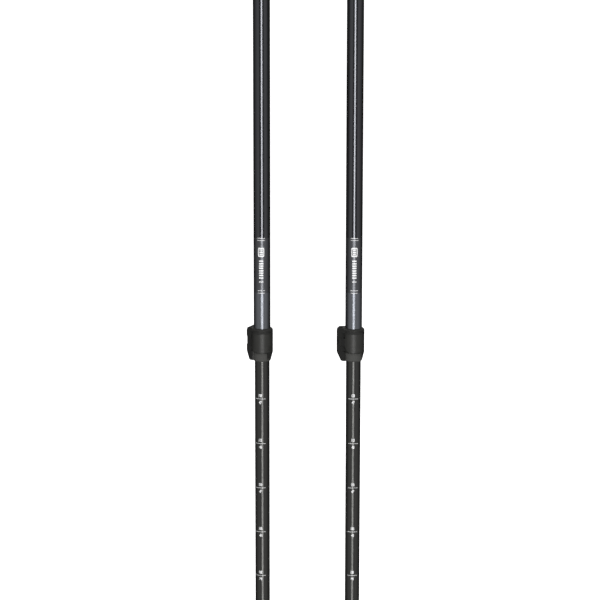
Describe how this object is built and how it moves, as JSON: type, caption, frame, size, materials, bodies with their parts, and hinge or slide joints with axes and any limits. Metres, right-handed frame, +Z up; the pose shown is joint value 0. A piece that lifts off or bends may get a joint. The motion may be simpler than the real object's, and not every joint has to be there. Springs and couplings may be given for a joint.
{
  "type": "trekking poles",
  "caption": "Pair of upright telescopic walking poles with lever clamps, foam grips, wrist loops, baskets and hard tips.",
  "frame": {"origin": "the point of the left pole's tip, on that pole's axis, where it meets the ground", "axes": "+Z up along the poles, +X from the left pole to the right pole, -Y to the front, where the scales face"},
  "size_m": [0.1546, 0.107, 1.2435],
  "materials": {
    "upper_tube": "glossy anodised",
    "lower_tube": "satin black anodised",
    "lock_plastic": "fine moulded texture",
    "lever_plastic": "fine moulded texture",
    "steel": "turned",
    "ferrule_steel": "turned",
    "carbide": "ground",
    "bush_plastic": "plain",
    "grip_rubber": "soft touch",
    "foam": "fine closed cells",
    "cap_plastic": "satin",
    "webbing": "woven",
    "strap_lining": "brushed knit",
    "tip_plastic": "satin",
    "basket_plastic": "satin"
  },
  "bodies": {
    "left_upper": {"left_upper_shaft": "upper_tube", "left_lock_collar": "lock_plastic", "left_lock_barrel": "steel", "left_lock_washer": "steel", "left_grip_extension": "foam", "left_grip": "grip_rubber", "left_grip_core": "bush_plastic", "left_grip_cap": "cap_plastic", "left_strap_wedge": "cap_plastic", "left_strap_pin": "steel"},
    "left_lower": {"left_lower_shaft": "lower_tube", "left_guide_bush": "bush_plastic", "left_shaft_plug": "bush_plastic", "left_flex_tip": "tip_plastic", "left_basket": "basket_plastic", "left_tip_ferrule": "ferrule_steel", "left_carbide_tip": "carbide"},
    "left_lever": {"left_lock_lever": "lever_plastic"},
    "left_screw": {"left_lock_screw": "steel"},
    "left_strap": {"left_strap": "webbing", "left_strap_pad": "strap_lining"},
    "right_upper": {"right_upper_shaft": "upper_tube", "right_lock_collar": "lock_plastic", "right_lock_barrel": "steel", "right_lock_washer": "steel", "right_grip_extension": "foam", "right_grip": "grip_rubber", "right_grip_core": "bush_plastic", "right_grip_cap": "cap_plastic", "right_strap_wedge": "cap_plastic", "right_strap_pin": "steel"},
    "right_lower": {"right_lower_shaft": "lower_tube", "right_guide_bush": "bush_plastic", "right_shaft_plug": "bush_plastic", "right_flex_tip": "tip_plastic", "right_basket": "basket_plastic", "right_tip_ferrule": "ferrule_steel", "right_carbide_tip": "carbide"},
    "right_lever": {"right_lock_lever": "lever_plastic"},
    "right_screw": {"right_lock_screw": "steel"},
    "right_strap": {"right_strap": "webbing", "right_strap_pad": "strap_lining"}
  },
  "joints": [
    {"name": "left_length", "type": "slide", "parent": "left_upper", "child": "left_lower", "axis": [0, 0, -1], "range_m": [-0.2935, 0.2065]},
    {"name": "left_lock", "type": "hinge", "parent": "left_upper", "child": "left_lever", "pos_m": [-0.0124, 0.00605, 0.5424], "axis": [0, 0, -1], "range_deg": [0, 92]},
    {"name": "left_tension_screw", "type": "hinge", "parent": "left_upper", "child": "left_screw", "pos_m": [-0.0124, 0.00605, 0.5424], "axis": [0.4384, 0.8988, 0], "continuous": true},
    {"name": "left_strap_swing", "type": "hinge", "parent": "left_upper", "child": "left_strap", "pos_m": [0, 0.02, 1.2195], "axis": [1, 0, 0], "range_deg": [0, 90]},
    {"name": "right_pole_apart", "type": "slide", "parent": "left_upper", "child": "right_upper", "axis": [1, 0, 0], "range_m": [0, 0.3]},
    {"name": "right_length", "type": "slide", "parent": "right_upper", "child": "right_lower", "axis": [0, 0, -1], "range_m": [-0.2935, 0.2065]},
    {"name": "right_lock", "type": "hinge", "parent": "right_upper", "child": "right_lever", "pos_m": [0.0848, 0, 0.5424], "axis": [0, 0, -1], "range_deg": [0, 92]},
    {"name": "right_tension_screw", "type": "hinge", "parent": "right_upper", "child": "right_screw", "pos_m": [0.0848, 0, 0.5424], "axis": [0, 1, 0], "continuous": true},
    {"name": "right_strap_swing", "type": "hinge", "parent": "right_upper", "child": "right_strap", "pos_m": [0.0986, 0.02, 1.2195], "axis": [1, 0, 0], "range_deg": [0, 90]}
  ]
}
